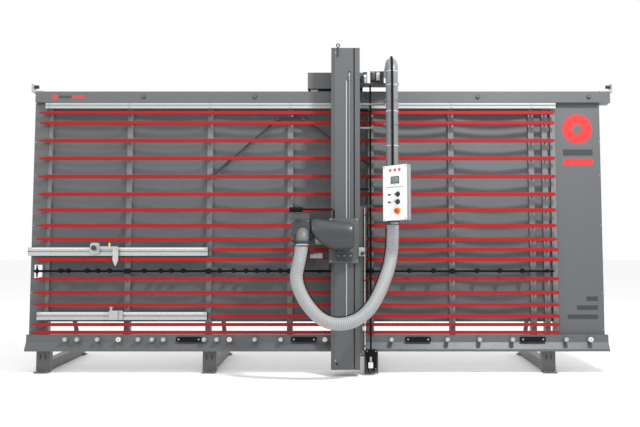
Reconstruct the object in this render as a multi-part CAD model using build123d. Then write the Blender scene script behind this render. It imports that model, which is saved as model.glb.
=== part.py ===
"""Vertical panel saw: a leaning frame with slats, a saw column that travels along it, and a saw head on the column.

Everything but the feet is drawn in the frame's own upright axes and then leaned back.
x runs along the machine, v is the depth (v = 0 is the front of the slats, minus is towards the user)
and w is the height along the frame, from the floor. All sizes are in millimetres.
"""
import os
from math import atan2, cos, degrees, hypot, pi, radians, sin, tan

from build123d import *

# ---- driving sizes
LEAN = 5.0                      # the frame leans back by this angle
LEFT, RIGHT = -2603.0, 2474.0   # outer edges of the side panels
BUFFER_LEFT, BUFFER_RIGHT = -2632.0, 2590.0
REAR = 1250.0                   # how far the floor beams run back
FRONT_REACH = 537.0             # how far the hose stands out in front of the slats at the floor
GAP = 0.3                       # running gap between pieces that move past each other
SHEET = 4.0

POST_PITCH, POST_COUNT, FIRST_POST = 720.0, 7, -2465.0
POST_WIDE, POST_DEEP, POST_FRONT, POST_WALL = 50.0, 80.0, 60.0, 4.0
END_POST = 1977.0

BEAM_LOW, BEAM_FOLD_LOW, BEAM_FOLD_HIGH, BEAM_TOP = 190.0, 211.0, 269.0, 336.0
BEAM_LIP, BEAM_WEB, BEAM_BACK = -35.0, 5.0, 140.0
TOP_LOW, TOP_HIGH, TOP_FRONT, TOP_BACK = 2405.0, 2505.0, 15.0, 140.0
PANEL_LOW, PANEL_HIGH, PANEL_DISH = 448.0, 2400.0, 22.0

SLAT_TALL, SLAT_DEEP, SLAT_TAPER = 30.0, 18.0, 70.0
UPPER_SLATS = [2310, 2216, 2057, 1897, 1733, 1575, 1434, 1295, 1175]
LOWER_SLATS = [1082, 995, 824, 702, 595, 497, 423, 355]
BEHIND_RAIL = (1082, 497)       # these slats start where a stop rail ends
UPPER_ENDS, LOWER_ENDS = (-2545.0, 2056.0), (-2560.0, 2070.0)
SIDE_RIGHT_INNER, SIDE_LEFT_INNER = 2074.0, -2477.0

ROLLER_R, ROLLER_W, ROLLER_FRONT = 20.0, 294.0, -62.0
ROLLER_X = [-2253, -2148, -1972, -1788, -1617, -1495, -1397, -1043, -933, -822,
            -603, -376, 9, 589, 1076, 1356, 1642, 2109, 2322]
BLOCK_X = [-1181, -176, 822, 1826]
BLOCK_WIDE, BLOCK_TALL = 225.0, 44.0

BAR_W, BAR_V, BAR_SIDE, BAR_ENDS = 893.0, 38.0, 16.0, (-2570.0, 2034.0)
MID_X = [-2324, -2257, -2090, -1997, -1893, -1590, -1442, -1350, -1245, -924, -800,
         -690, -597, -493, -387, -36, 753, 966, 1351, 1551, 1750, 1965]
WINDOW_X, WINDOW_W = (-2582.0, -2501.0), (831.0, 950.0)

RAILS = {"upper": ((-2613.0, -1028.0), (1027.0, 1101.0)), "lower": ((-2522.0, -1029.0), (463.0, 533.0))}
RAIL_DEEP = 38.0

COLUMN_X, COLUMN_V, COLUMN_W = (63.0, 313.0), (-195.0, -75.0), (42.0, 2840.0)
COLUMN_WALL, SLOT_X, SLOT_DEEP = 4.0, (257.0, 269.0), 30.0
STRIP_X, STRIP_W = (191.0, 201.0), (390.0, 2546.0)
WHEEL_R, WHEEL_X, RAIL_TOP = 38.0, (-95.0, 285.0), 2515.0
HOUSE_X, HOUSE_V, HOUSE_W = (-151.0, 345.0), (20.0, 135.0), (2533.0, 2679.0)

AXIS_X, AXIS_W = -170.0, 1180.0      # the swivel axis of the saw head
BLADE_X, BLADE_R, BLADE_T = -225.0, 120.0, 3.2
REST_RIM, PLUNGE = -73.0, 70.0
ARBOR_V, ARBOR_W = REST_RIM - BLADE_R, 1250.0
MOTOR_V, MOTOR_W = -392.0, 1187.0
HEAD_FRONT, HEAD_BACK = -492.0, -292.0
BELT_X = (-96.0, -82.0)
SPIGOT_R, DUCT_R = 50.0, 53.0
ELBOW_V, ELBOW_BEND = -562.0, 62.0
DUCT_X, DUCT_V, DUCT_TOP, DUCT_LOW = 588.0, -300.0, 2694.0, 1290.0
BOX_YAW, BOX_W, BOX_SIZE = 38.0, 1527.0, (240.0, 60.0, 463.0)
BOX_CORNER = (504.0, -400.0)
HOSE_R = 55.0

TUBE_V = -92.0
PULLEY_V = -154.0
FEET_X = (-2472.0, -1008.0, 415.0, 1975.0)
HOSE_END = 1095.0
HOSE_POINTS = [(588, -300, 1290), (588, -300, 1120), (566, -328, 945), (522, -380, 815), (470, -425, 690),
               (395, -455, 560), (290, -475, 465), (145, -490, 424), (5, -500, 455), (-95, -515, 545),
               (-165, -530, 665), (-205, -545, 810), (AXIS_X, ELBOW_V, 970), (AXIS_X, ELBOW_V, HOSE_END)]

SHIFT_X = -(BUFFER_LEFT + BUFFER_RIGHT) / 2
SHIFT_Y = (FRONT_REACH - REAR) / 2
nodes = {}


# ---- shapes
def block(x, v, w):
    """A box between two corners, given as (low, high) along each axis."""
    size = [high - low for low, high in (x, v, w)]
    return Pos(*[(low + high) / 2 for low, high in (x, v, w)]) * Box(*size)


def rod(x, v, w, radius):
    """A round bar: the coordinate that is a (low, high) pair is the one that it runs along."""
    along = [i for i, value in enumerate((x, v, w)) if isinstance(value, tuple)][0]
    low, high = (x, v, w)[along]
    middle = [(low + high) / 2 if i == along else value for i, value in enumerate((x, v, w))]
    turn = (Rot(0, 90, 0), Rot(90, 0, 0), Rot(0, 0, 0))[along]
    return Pos(*middle) * turn * Cylinder(radius, high - low)


def pipe(x, v, w, outer, inner):
    """A round bar with a bore right through."""
    return rod(x, v, w, outer) - rod(x, v, w, inner)


def plate(points, axis, low, high):
    """A polygon of the two coordinates other than axis, filled from low to high along axis."""
    place = {"x": lambda a, b: (low, a, b), "v": lambda a, b: (a, low, b), "w": lambda a, b: (a, b, low)}[axis]
    way = {"x": (1, 0, 0), "v": (0, 1, 0), "w": (0, 0, 1)}[axis]
    outline = Polyline(*[place(a, b) for a, b in points], close=True)
    return extrude(make_face(outline), amount=high - low, dir=way)


def bar_between(start, end, radius):
    """A straight round bar from one point to another."""
    line = Line(start, end)
    return sweep(Plane(origin=start, z_dir=line @ 1 - line @ 0) * Circle(radius), path=line)


def place(shape):
    """Lean a shape back with the frame and move it into the machine's axes."""
    return Pos(SHIFT_X, SHIFT_Y, 0) * Rot(-LEAN, 0, 0) * shape


def node(name, *shapes, leaned=True):
    """Add pieces to a named sub-part, each as a solid of its own."""
    for shape in shapes:
        moved = place(shape) if leaned else Pos(SHIFT_X, SHIFT_Y, 0) * shape
        nodes.setdefault(name, []).extend(moved.solids())


def posts_x():
    return [FIRST_POST + POST_PITCH * i for i in range(POST_COUNT)]


# ---- the frame
def frame():
    top_x = (LEFT + 10, BUFFER_RIGHT - 27)
    outer = block(top_x, (TOP_FRONT, TOP_BACK), (TOP_LOW, TOP_HIGH))
    node("top_beam", outer - block((top_x[0] + SHEET, top_x[1] - SHEET), (TOP_FRONT + SHEET, TOP_BACK - SHEET),
                                   (TOP_LOW + SHEET, TOP_HIGH - SHEET)))
    node("top_beam", block((-2520, 2468), (60, 84), (TOP_HIGH, RAIL_TOP)))
    lip, web, back, s = BEAM_LIP, BEAM_WEB, BEAM_BACK, SHEET
    outside = [(lip, BEAM_LOW), (lip, BEAM_FOLD_LOW), (web, BEAM_FOLD_HIGH), (web, BEAM_TOP), (back, BEAM_TOP),
               (back, BEAM_LOW), (back - s, BEAM_LOW), (back - s, BEAM_TOP - s), (web + s, BEAM_TOP - s),
               (web + s, BEAM_FOLD_HIGH - 1), (lip + s, BEAM_FOLD_LOW - 1), (lip + s, BEAM_LOW)]
    node("bottom_beam", plate(outside, "x", LEFT - 7, RIGHT + 18))

    tall = (BEAM_TOP, TOP_LOW)
    tubes = []
    for x in posts_x() + [END_POST]:
        wide = POST_WIDE / 2
        tube = block((x - wide, x + wide), (POST_FRONT, POST_FRONT + POST_DEEP), tall)
        inner = block((x - wide + POST_WALL, x + wide - POST_WALL),
                      (POST_FRONT + POST_WALL, POST_FRONT + POST_DEEP - POST_WALL), (tall[0] - 1, tall[1] + 1))
        tubes.append(tube - inner)
    node("posts", *tubes)

    sheets = []
    for left, right in zip(posts_x(), posts_x()[1:]):
        a, b = left + POST_WIDE / 2, right - POST_WIDE / 2
        front = POST_FRONT + 30
        steps = 8
        bow = [(a + (b - a) * i / steps, front + PANEL_DISH * sin(pi * i / steps)) for i in range(steps + 1)]
        sheets.append(plate(bow + [(x, v + 2) for x, v in reversed(bow)], "w", PANEL_LOW, PANEL_HIGH))
    last = posts_x()[-1]
    for a, b in ((last + POST_WIDE / 2, END_POST - POST_WIDE / 2), (END_POST + POST_WIDE / 2, SIDE_RIGHT_INNER - 46)):
        sheets.append(block((a, b), (POST_FRONT + 30, POST_FRONT + 32), (PANEL_LOW, PANEL_HIGH)))
    node("back_sheets", *sheets)

    panel_v = (POST_FRONT - 4, POST_FRONT)
    side = block((LEFT, SIDE_LEFT_INNER), panel_v, tall) - block(WINDOW_X, (0, 100), WINDOW_W)
    side -= block((-2501, SIDE_LEFT_INNER + 1), (14, POST_FRONT), (2351, 2401))
    node("side_panels", side + block((LEFT, LEFT + 4), (panel_v[1], TOP_BACK), tall))
    right = block((SIDE_RIGHT_INNER, RIGHT), panel_v, tall)
    right += block((RIGHT - 4, RIGHT), (panel_v[1], TOP_BACK), tall)
    node("side_panels", right)
    node("posts", block((SIDE_RIGHT_INNER - 46, SIDE_RIGHT_INNER), (POST_FRONT, POST_FRONT + 60), tall))

    rail_x = (-2501.0, SIDE_RIGHT_INNER - 1)
    rail = block(rail_x, (14, POST_FRONT), (2351, 2401)) - block((rail_x[0] - 1, rail_x[1] + 1), (12, 22), (2369, 2383))
    node("top_rail", rail)

    boss_v = (30, POST_FRONT)
    left_rod = bar_between((-420, 46, 2258), (-1000, 46, 1748), 9) + rod(-420, boss_v, 2258, 16) + rod(-1000, boss_v, 1748, 16)
    right_rod = bar_between((-190, 46, 2258), (405, 46, 1842), 9) + rod(-190, boss_v, 2258, 16) + rod(405, boss_v, 1842, 16)
    tie = block((-445, -165), (54, POST_FRONT), (2234, 2279))
    node("tension_rods", left_rod + right_rod + tie)


def slat(w, left, right):
    """One slat with both ends cut to a point and softened long edges."""
    low, high = w - SLAT_TALL / 2, w + SLAT_TALL / 2
    points = [(left, w - 5), (left + SLAT_TAPER, low), (right - 12, low), (right, w - 5),
              (right, w + 5), (right - 12, high), (left + SLAT_TAPER, high), (left, w + 5)]
    return plate(points, "v", 0, SLAT_DEEP)


def slats():
    rail_end = RAILS["upper"][0][1] + 12
    node("slats", *[slat(w, *UPPER_ENDS) for w in UPPER_SLATS])
    node("slats", *[slat(w, rail_end if w in BEHIND_RAIL else LOWER_ENDS[0], LOWER_ENDS[1]) for w in LOWER_SLATS])
    brackets = []
    for w in UPPER_SLATS + LOWER_SLATS:
        for x in posts_x() + [END_POST]:
            if (w in BEHIND_RAIL and x < rail_end) or (w == 995 and x == END_POST):
                continue
            gusset = [(SLAT_DEEP, w + 12), (POST_FRONT, w + 12), (POST_FRONT, max(w - 28, BEAM_TOP)), (SLAT_DEEP, w - 12)]
            brackets.append(plate(gusset, "x", x - 4, x + 4))
    node("slat_brackets", *brackets)


def rollers():
    node("bottom_rollers", *[pipe(x, (ROLLER_FRONT, BEAM_WEB - 3), ROLLER_W, ROLLER_R, 6.05) for x in ROLLER_X])
    pins = []
    for x in ROLLER_X:
        head = rod(x, (ROLLER_FRONT - 3, ROLLER_FRONT - GAP), ROLLER_W, 9)
        pins.append(rod(x, (ROLLER_FRONT - GAP, BEAM_WEB), ROLLER_W, 6) + head)
    node("roller_pins", *pins)
    plates, half = [], BLOCK_WIDE / 2
    for x in BLOCK_X:
        rib = block((x - half, x + half), (BEAM_WEB - 22, BEAM_WEB), (ROLLER_W - BLOCK_TALL / 2, ROLLER_W + BLOCK_TALL / 2))
        plates.append(fillet(rib.edges().filter_by(Axis.Y), 14))
    node("support_blocks", *plates)
    node("support_blocks", *[rod(x + side * 88, (BEAM_WEB - 27, BEAM_WEB - 22), ROLLER_W, 9)
                           for x in BLOCK_X for side in (-1, 1)])


def middle_support():
    bearings = []
    for x in posts_x()[1:6]:
        shell = block((x - 22, x + 22), (22, POST_FRONT), (BAR_W - 22, BAR_W + 22))
        bearings.append(shell - rod((x - 30, x + 30), BAR_V, BAR_W, 10.05))
    node("mid_bearings", *bearings)
    bar = rod(BAR_ENDS, BAR_V, BAR_W, 10)
    node("mid_shaft", bar)
    arms, wheels = [], []
    for x in MID_X:
        arms.append(rod(x, (-42, BAR_V - 10), BAR_W, 6))
        wheels.append(pipe(x, (-38, BAR_V - 13), BAR_W, 16, 6.05))
    node("mid_shaft", *arms)
    node("mid_rollers", *wheels)
    x = sum(WINDOW_X) / 2
    hub = rod((x - 9, x + 9), BAR_V, BAR_W, 20) - rod((x - 10, x + 10), BAR_V, BAR_W, 10)
    lever = block((x - 6, x + 6), (BAR_V - 5, BAR_V + 5), (BAR_W + 18, BAR_W + 50))
    lever += block((x - 6, x + 6), (BAR_V - 5, BAR_V + 5), (BAR_W - 52, BAR_W - 18))
    node("mid_shaft", hub + lever)


# ---- the stops on the left
def stop_rails():
    rails, brackets = [], []
    for (x0, x1), (w0, w1) in RAILS.values():
        rail = block((x0, x1), (0, RAIL_DEEP), (w0, w1))
        middle = (w0 + w1) / 2
        rail -= block((x0 - 1, x1 + 1), (-1, 8), (middle - 5, middle + 5))
        rail -= block((x0 - 1, x1 + 1), (8, 16), (middle - 11, middle + 11))
        rails.append(rail)
        for x in posts_x()[:2] + [RAILS["upper"][0][1] - 14]:
            brackets.append(block((x - 12, x + 12), (RAIL_DEEP, POST_FRONT), (middle - 26, middle + 26)))
    node("stop_rails", rails[0])
    node("stop_rails", rails[1])
    node("stop_rails", *brackets)


def upper_stop():
    (w0, w1) = RAILS["upper"][1]
    middle = (w0 + w1) / 2
    foot = block((-2050, -1990), (8.4, 15.6), (middle - 10, middle + 10)) + block((-2050, -1990), (-GAP, 8.4), (middle - 4.5, middle + 4.5))
    body = block((-2059, -1978), (-26, -GAP), (1041, 1140))
    body = fillet(body.edges().filter_by(Axis.Y), 22)
    node("stop_upper", body + foot)
    node("stop_upper", block((-1978, -1822), (-16, -GAP), (1082, 1109)) + rod(-1833, (-20, -16), 1088, 12))
    points = [(-1858, 1104), (-1809, 1104), (-1809, 985), (-1829, 937), (-1838, 937), (-1858, 985)]
    finger = plate(points, "v", -34, -20.3) - rod(-1833, (-40, -10), 1088, 8)
    node("stop_finger", finger)
    node("stop_upper", rod(-1833, (-38, -20), 1088, 7.95) + rod(-1833, (-42, -34.3), 1088, 13))
    node("stop_upper", block((-1900, -1886), (-14, -4), (1109, 1134)))
    node("stop_upper", rod(-2018.5, (-48, -26), 1092, 20) + rod(-2018.5, (-56, -48), 1092, 13))


def lower_stop():
    (w0, w1) = RAILS["lower"][1]
    middle = (w0 + w1) / 2
    foot = block((-1850, -1790), (8.4, 15.6), (middle - 10, middle + 10)) + block((-1850, -1790), (-GAP, 8.4), (middle - 4.5, middle + 4.5))
    body = block((-1876, -1763), (-46, -GAP), (463, 545)) - block((-1800, -1760), (-50, -24), (460, 550))
    node("stop_lower", body + foot)
    node("stop_lower", rod(-1862, -24, (545, 567), 12) + rod(-1862, -24, (567, 577), 16))


# ---- feet
def feet():
    base, wall = 10.0, 4.0
    lean = Rot(-LEAN, 0, 0)
    for x in FEET_X:
        post = lean * block((x - 60, x + 60), (56, BEAM_BACK - SHEET), (-30, BEAM_TOP - SHEET))
        post -= block((x - 100, x + 100), (-50, 300), (-60, base))
        for side in (-1, 1):
            post -= lean * block((x + side * 22 - 8, x + side * 22 + 8), (50, 68), (118, 160))
        node("feet", post, leaned=False)
        for y in (-6.0, REAR - 100):
            pad = block((x - 60, x + 60), (y, y + 100), (0, base))
            for side in (-1, 1):
                pad -= rod(x + side * 42, y + (22 if y < 0 else 78), (-1, base + 1), 7)
            node("feet", pad, leaned=False)
        beam = block((x - 40, x + 40), (100, REAR - 20), (base, 90))
        beam -= block((x - 40 + wall, x + 40 - wall), (90, REAR - 20 - wall), (base + wall, 90 - wall))
        node("floor_beams", beam - post, leaned=False)
        strut = bar_between((x, REAR - 70, 80), (x, 270, 1660), 22)
        strut -= lean * block((x - 100, x + 100), (0, POST_FRONT + POST_DEEP), (1000, 2000))
        strut -= block((x - 50, x + 50), (0, REAR), (0, 90))
        node("floor_beams", strut, leaned=False)


def end_stops():
    shelf_l = block((-2632, -2525), (TOP_FRONT, TOP_BACK - 20), (2505, 2515))
    brackets = [shelf_l + block((-2632, -2622), (TOP_FRONT, TOP_BACK - 20), (2515, 2580))]
    shelf_r = block((2473, 2590), (TOP_FRONT, TOP_BACK - 20), (2505, 2515))
    brackets.append(shelf_r + block((2580, 2590), (TOP_FRONT, TOP_BACK - 20), (2515, 2580)))
    node("end_stop_brackets", *brackets)
    node("end_buffers", rod((-2622, -2586), 77, 2560, 16), rod((2544, 2580), 77, 2560, 16))
    rings = []
    for x in (-1621, -622, 381, 1376, 2370):
        rings.append(rod(x, (TOP_FRONT - 10, TOP_FRONT), 2455, 14) + rod(x, (TOP_FRONT - 18, TOP_FRONT - 10), 2455, 8))
    node("top_beam", *rings)


# ---- the saw column
def column():
    (x0, x1), (v0, v1), s = COLUMN_X, COLUMN_V, COLUMN_WALL
    a, b = SLOT_X
    deep = v0 + SLOT_DEEP
    outside = [(x0 + 22, v0), (a, v0), (a, deep), (b, deep), (b, v0 - 4), (x1, v0 - 4), (x1, v1), (x0, v1), (x0, v0 + 14)]
    inside = [(x0 + 24, v0 + s), (a - s, v0 + s), (a - s, deep + s), (b + s, deep + s), (b + s, v0), (x1 - s, v0),
              (x1 - s, v1 - s), (x0 + s, v1 - s), (x0 + s, v0 + 16)]
    low, high = COLUMN_W
    shell = plate(outside, "w", low, high) - plate(inside, "w", low - 1, high + 1)
    shell -= rod(114, (v0 - 20, v0 + 20), 92, 11)
    shell -= block((212, 232), (v0 - 10, v0 + 10), (2546, 2632))
    node("column", shell)
    node("column", block((x0, x1), (v0, v1), (high, high + 4)))
    node("column", block(STRIP_X, (v0 - 8, v0), STRIP_W))
    eye = Pos(123, v0 - 6, high + 22) * Rot(90, 0, 0) * Torus(14, 5)
    node("lifting_eye", eye + plate([(116, high - 20), (130, high - 20), (125, high - 80), (121, high - 80)], "v", v0 - 12, v0)
         + block((118, 128), (v0 - 12, v0), (high - 20, high + 10)))

    wall = 3.0
    (hx0, hx1), (hv0, hv1), (hw0, hw1) = HOUSE_X, HOUSE_V, HOUSE_W
    house = block(HOUSE_X, HOUSE_V, HOUSE_W) - block((hx0 + wall, hx1 - wall), (hv0 + wall, hv1 - wall), (hw0 - 1, hw1 - wall))
    arm = block((80, 300), (v1, hv0), (2540, 2640))
    axle_w = RAIL_TOP + WHEEL_R + GAP
    for x in WHEEL_X:
        house -= rod(x, (hv0 - 5, hv1 + 5), axle_w, 10)
    node("top_carriage", house)
    node("top_carriage", arm)
    node("top_carriage", *[rod(x, (hv0, hv1), axle_w, 10) for x in WHEEL_X])
    for side, x in zip(("left", "right"), WHEEL_X):
        node(f"column_wheel_{side}", pipe(x, (58, 86), axle_w, WHEEL_R, 10.05))

    foot = block((70, 364), (-75, 12), (150, 162)) + block((70, 250), (-75, -67), (162, 185))
    node("bottom_guide", foot)
    roll = []
    for x in (110, 220):
        roll += [pipe(x, BEAM_LIP - 14.3, (166, 206), 14, 5.05), pipe(x, BEAM_LIP + SHEET + 14.3, (166, 206), 14, 5.05)]
    node("guide_rollers", *roll)
    node("bottom_guide", *[rod(x, v, (162, 206), 5) for x in (110, 220) for v in (BEAM_LIP - 14.3, BEAM_LIP + SHEET + 14.3)])

    node("cable_strip", block((x1, 336), (-170, -150), (175, 1448)))
    node("cable_strip", rod(364, -158, (985, 1440), 5) + block((336, 370), (-166, -150), (985, 997)))
    tube = rod(407, TUBE_V, (212, 2540), 8)
    node("brake_tube", tube)
    for w in (2300, 1600, 700):
        node("brake_tube", block((x1, 419), (TUBE_V - 14, TUBE_V + 14), (w, w + 12)) - tube)
    node("bottom_brake", plate([(364, 150), (364, 212), (458, 212), (458, 30), (378, 30)], "v", TUBE_V - 15, -60))
    node("bottom_brake", block((375, 432), (TUBE_V - 35, TUBE_V - 15), (47, 106)))
    node("top_carriage", block((x1, 660), (-100, 10), (2540, 2550)))
    node("valve_boxes", block((345, 382), (-60, 8), (2550, 2663)), block((410, 530), (-50, 8), (2560, 2672)),
         block((420, 520), (-40, 0), (2550, 2560)))


def counterweight():
    node("counterweight", block((80, 245), (-180, -84), (1180, 1715)))
    wheel_w, radius, rope = 2590.0, 52.0, 3.0
    away = radius + rope
    node("rope_pulley", pipe((216, 228), PULLEY_V, wheel_w, radius, 8.05))
    node("column", rod((160, 252.9), PULLEY_V, wheel_w, 8) + block((160, 172), (-160, COLUMN_V[1] - 4), (wheel_w - 14, wheel_w + 14)))
    node("rope_front", rod(222, PULLEY_V - away, (1334, wheel_w), rope))
    node("rope_back", rod(222, PULLEY_V + away, (1715, wheel_w), rope))


def dust_duct():
    bend = 100.0
    path = FilletPolyline((DUCT_X, DUCT_V, DUCT_LOW), (DUCT_X, DUCT_V, DUCT_TOP), (DUCT_X, 150, DUCT_TOP), radius=bend)
    ring = Plane(origin=(DUCT_X, DUCT_V, DUCT_LOW), z_dir=(0, 0, 1)) * (Circle(DUCT_R) - Circle(DUCT_R - 2))
    node("duct", sweep(ring, path=path))
    clamps = [pipe(DUCT_X, DUCT_V, (w - 8, w + 8), DUCT_R + 4, DUCT_R) for w in (2352, 2141, 1790)]
    node("duct_clamps", *clamps)
    arms = []
    for w in (2352, 2141):
        arms.append(block((COLUMN_X[1], DUCT_X - DUCT_R - 4 + 2), (-150, -140), (w - 7, w + 7))
                    + block((DUCT_X - DUCT_R - 14, DUCT_X - DUCT_R - 2), (DUCT_V, -140), (w - 7, w + 7))
                    - rod(DUCT_X, DUCT_V, (w - 20, w + 20), DUCT_R + 4))
    arms.append(block((DUCT_X - 30, DUCT_X + 30), (-40, 0), (2550, DUCT_TOP)) - rod(DUCT_X, (-50, 10), DUCT_TOP, DUCT_R))
    node("duct_clamps", *arms)


def in_box(shape):
    """Move a piece from the control box's own axes (x across, v into the box, w up, from its front left edge)."""
    return Pos(BOX_CORNER[0], BOX_CORNER[1], BOX_W) * Rot(0, 0, -BOX_YAW) * shape


def control_box():
    wide, deep, tall = BOX_SIZE
    half = tall / 2
    shell = block((0, wide), (0, deep), (-half, half)) - block((3, wide - 3), (3, deep - 3), (-half + 3, half - 3))
    shell = shell - rod(150, (-5, 8), -half + 76, 8.2)
    lamp_x, dial_x = (75, 122, 168), 150
    for w in (-half + 153, -half + 217):
        shell -= rod(dial_x, (-5, 8), w, 6.05)
    node("control_box", in_box(shell))
    arm = block((336, 667), (-166, -150), (1440, 1458)) + block((655, 667), (-470, -150), (1440, 1458))
    node("box_bracket", arm - in_box(block((0, wide), (-60, deep), (-half, half))))
    node("box_fittings", *[in_box(rod(x, (-9, 0), half - 40, 11)) for x in lamp_x])
    screen = block((80, 165), (-4, 0), (half - 155, half - 95))
    node("box_fittings", in_box(screen - block((88, 157), (-5, -2), (half - 148, half - 102))))
    for name, w in (("lower", -half + 153), ("upper", -half + 217)):
        dial = rod(dial_x, (-8, -GAP), w, 17) + block((dial_x - 22, dial_x + 14), (-22, -8), (w - 6, w + 6))
        node(f"switch_{name}", in_box(dial + rod(dial_x, (-GAP, 10), w, 6)))
    w = -half + 76
    node("box_fittings", in_box(pipe(dial_x, (-4, 0), w, 30, 8.2)))
    node("estop_button", in_box(rod(dial_x, (-30, -16), w, 20) + rod(dial_x, (-16, 12), w, 8.1)))
    node("box_bracket", in_box(rod(40, 30, (-half - 22, -half), 11)))


# ---- the saw carriage and the saw head
def carriage():
    plate_v = (COLUMN_V[0] - 24, COLUMN_V[0] - 12)
    back = plate_v[1]
    node("carriage_plate", block((45, 300), plate_v, (950, 1340)) - block((212, 232), (-230, -200), (1300, 1345)))
    node("carriage_plate", block((212, 232), (plate_v[0], COLUMN_V[0] - 4), (1300, 1333.7)))
    a, b = STRIP_X
    for w in (985, 1240):
        shoe = block((a - 30, b + 9), (back, COLUMN_V[0] - GAP), (w, w + 50))
        node("carriage_plate", shoe - block((a - GAP, b + GAP), (COLUMN_V[0] - 8.3, 0), (w - 1, w + 51)))
        node("carriage_plate", block((274, 300), (back, COLUMN_V[0] - 4 - GAP), (w, w + 50)))
    holes = [rod(32, (-300, -50), w, 8) for w in (1125, 1255)]
    side = block((45, 61), (back, -85), (1090, 1290)) + block((20, 45), (-95, -85), (1090, 1290))
    node("carriage_plate", side - holes[0] - holes[1])
    node("carriage_plate", block((20, 45), (plate_v[0], plate_v[0] + 10), (1090, 1290)) - holes[0] - holes[1])
    node("carriage_plate", *[rod(32, (plate_v[0], -85), w, 8) for w in (1125, 1255)])
    node("carriage_fittings", block((-147, 45), plate_v, (894, 983)))
    node("carriage_fittings", block((107, 247), (-262, plate_v[0]), (975, 1050)))
    node("carriage_fittings", rod(-100, (-245, plate_v[0]), 956, 16))
    node("carriage_fittings", block((300, 330), plate_v, (1000, 1100)) + rod((330, 352), -213, 1030, 12))
    arm = block((-128, -108), plate_v, (983, 1044)) + block((-128, -108), (-548, plate_v[0]), (1024, 1044))
    arm += block((-128, -108), (-572, -500), (1044, 1116))
    node("hose_arm", arm - rod(AXIS_X, ELBOW_V, (900, 1300), SPIGOT_R + 10))
    node("hose_arm", pipe(AXIS_X, ELBOW_V, (1098, 1114), SPIGOT_R + 10, SPIGOT_R))


def elbow():
    inner_end = (AXIS_X, HEAD_FRONT + PLUNGE + 20, AXIS_W)
    path = FilletPolyline(inner_end, (AXIS_X, ELBOW_V, AXIS_W), (AXIS_X, ELBOW_V, HOSE_END), radius=ELBOW_BEND)
    start = Plane(origin=inner_end, z_dir=(0, -1, 0))
    node("dust_elbow", sweep(start * (Circle(SPIGOT_R) - Circle(SPIGOT_R - 3)), path=path))


def plunge():
    outline = [(-20, 32), (34, 30), (58, -6), (104, -6), (112, 84), (186, 84), (186, -75), (62, -75), (54, -41), (-20, -32)]
    tongue = plate([(AXIS_X + x, AXIS_W + w) for x, w in outline], "v", -286, -272)
    tongue += rod(AXIS_X, (-286, -272), AXIS_W, 38)
    node("plunge_plate", tongue - rod(AXIS_X, (-300, -260), AXIS_W, 15))
    slider = block((20, 44), (-207, -167), (1105, 1275)) + block((0, 20), (-272, -167), (1105, 1264))
    for w in (1125, 1255):
        slider -= rod(32, (-300, -100), w, 8.05)
    node("plunge_plate", slider)


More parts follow.
